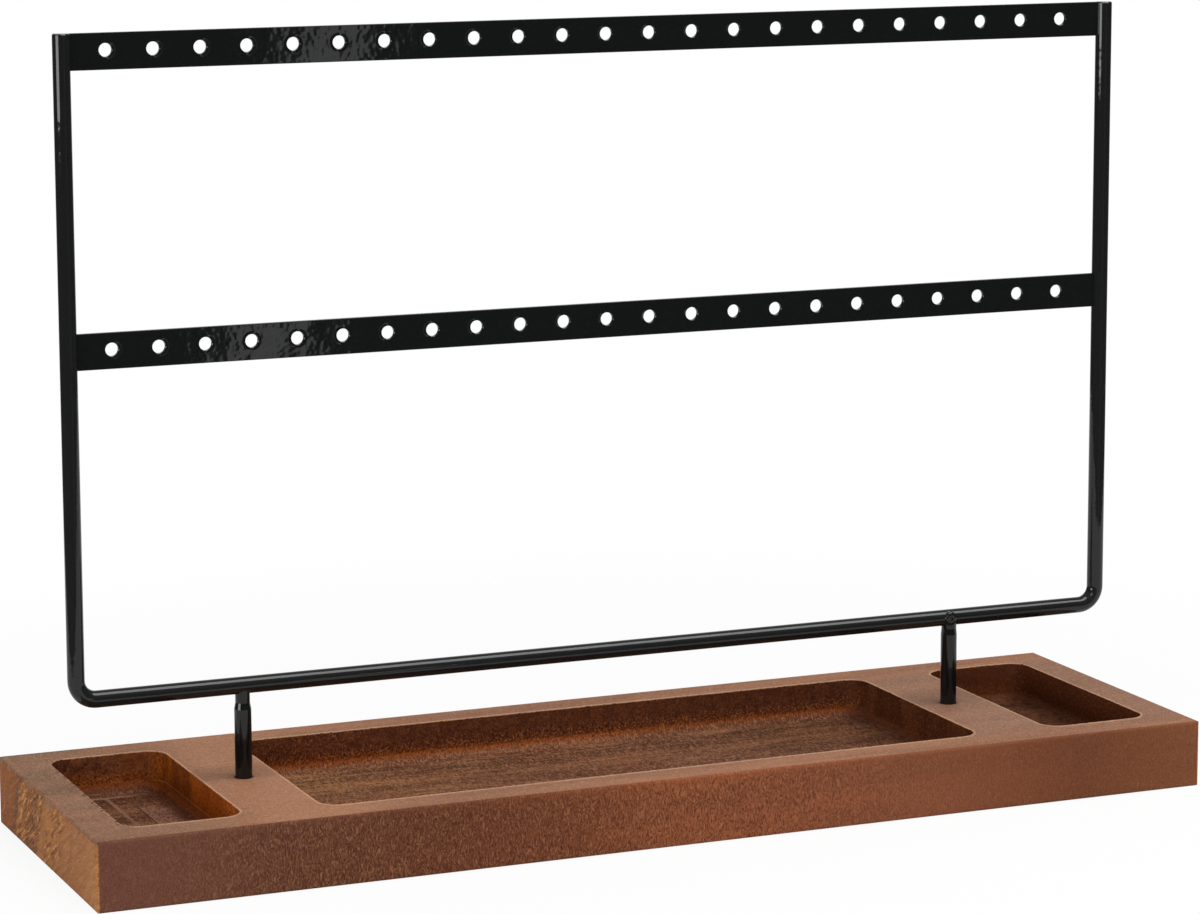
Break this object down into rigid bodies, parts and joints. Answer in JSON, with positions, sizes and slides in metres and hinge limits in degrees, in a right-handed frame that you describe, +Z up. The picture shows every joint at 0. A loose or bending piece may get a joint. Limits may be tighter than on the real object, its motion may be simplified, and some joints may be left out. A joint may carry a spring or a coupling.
{
  "type": "earring display stand",
  "caption": "Tabletop earring stand: a bent wire frame with perforated bars, held on short posts above a wooden tray base with routed pockets.",
  "frame": {"origin": "the middle of the base's underside", "axes": "+X runs along the base, to the right as seen from the front; +Y runs from front to back; +Z is up"},
  "size_m": [0.3, 0.09, 0.2042],
  "materials": {
    "wood": "oiled",
    "black_paint": "gloss",
    "zinc": "zinc plated"
  },
  "bodies": {
    "root": {"base": "wood", "frame_wire": "black_paint", "top_bar": "black_paint", "middle_bar": "black_paint", "left_post": "black_paint", "right_post": "black_paint", "left_post_weld": "black_paint", "right_post_weld": "black_paint", "top_bar_welds": "black_paint", "middle_bar_welds": "black_paint", "left_screw": "zinc", "right_screw": "zinc", "left_washer": "zinc", "right_washer": "zinc"}
  },
  "joints": []
}
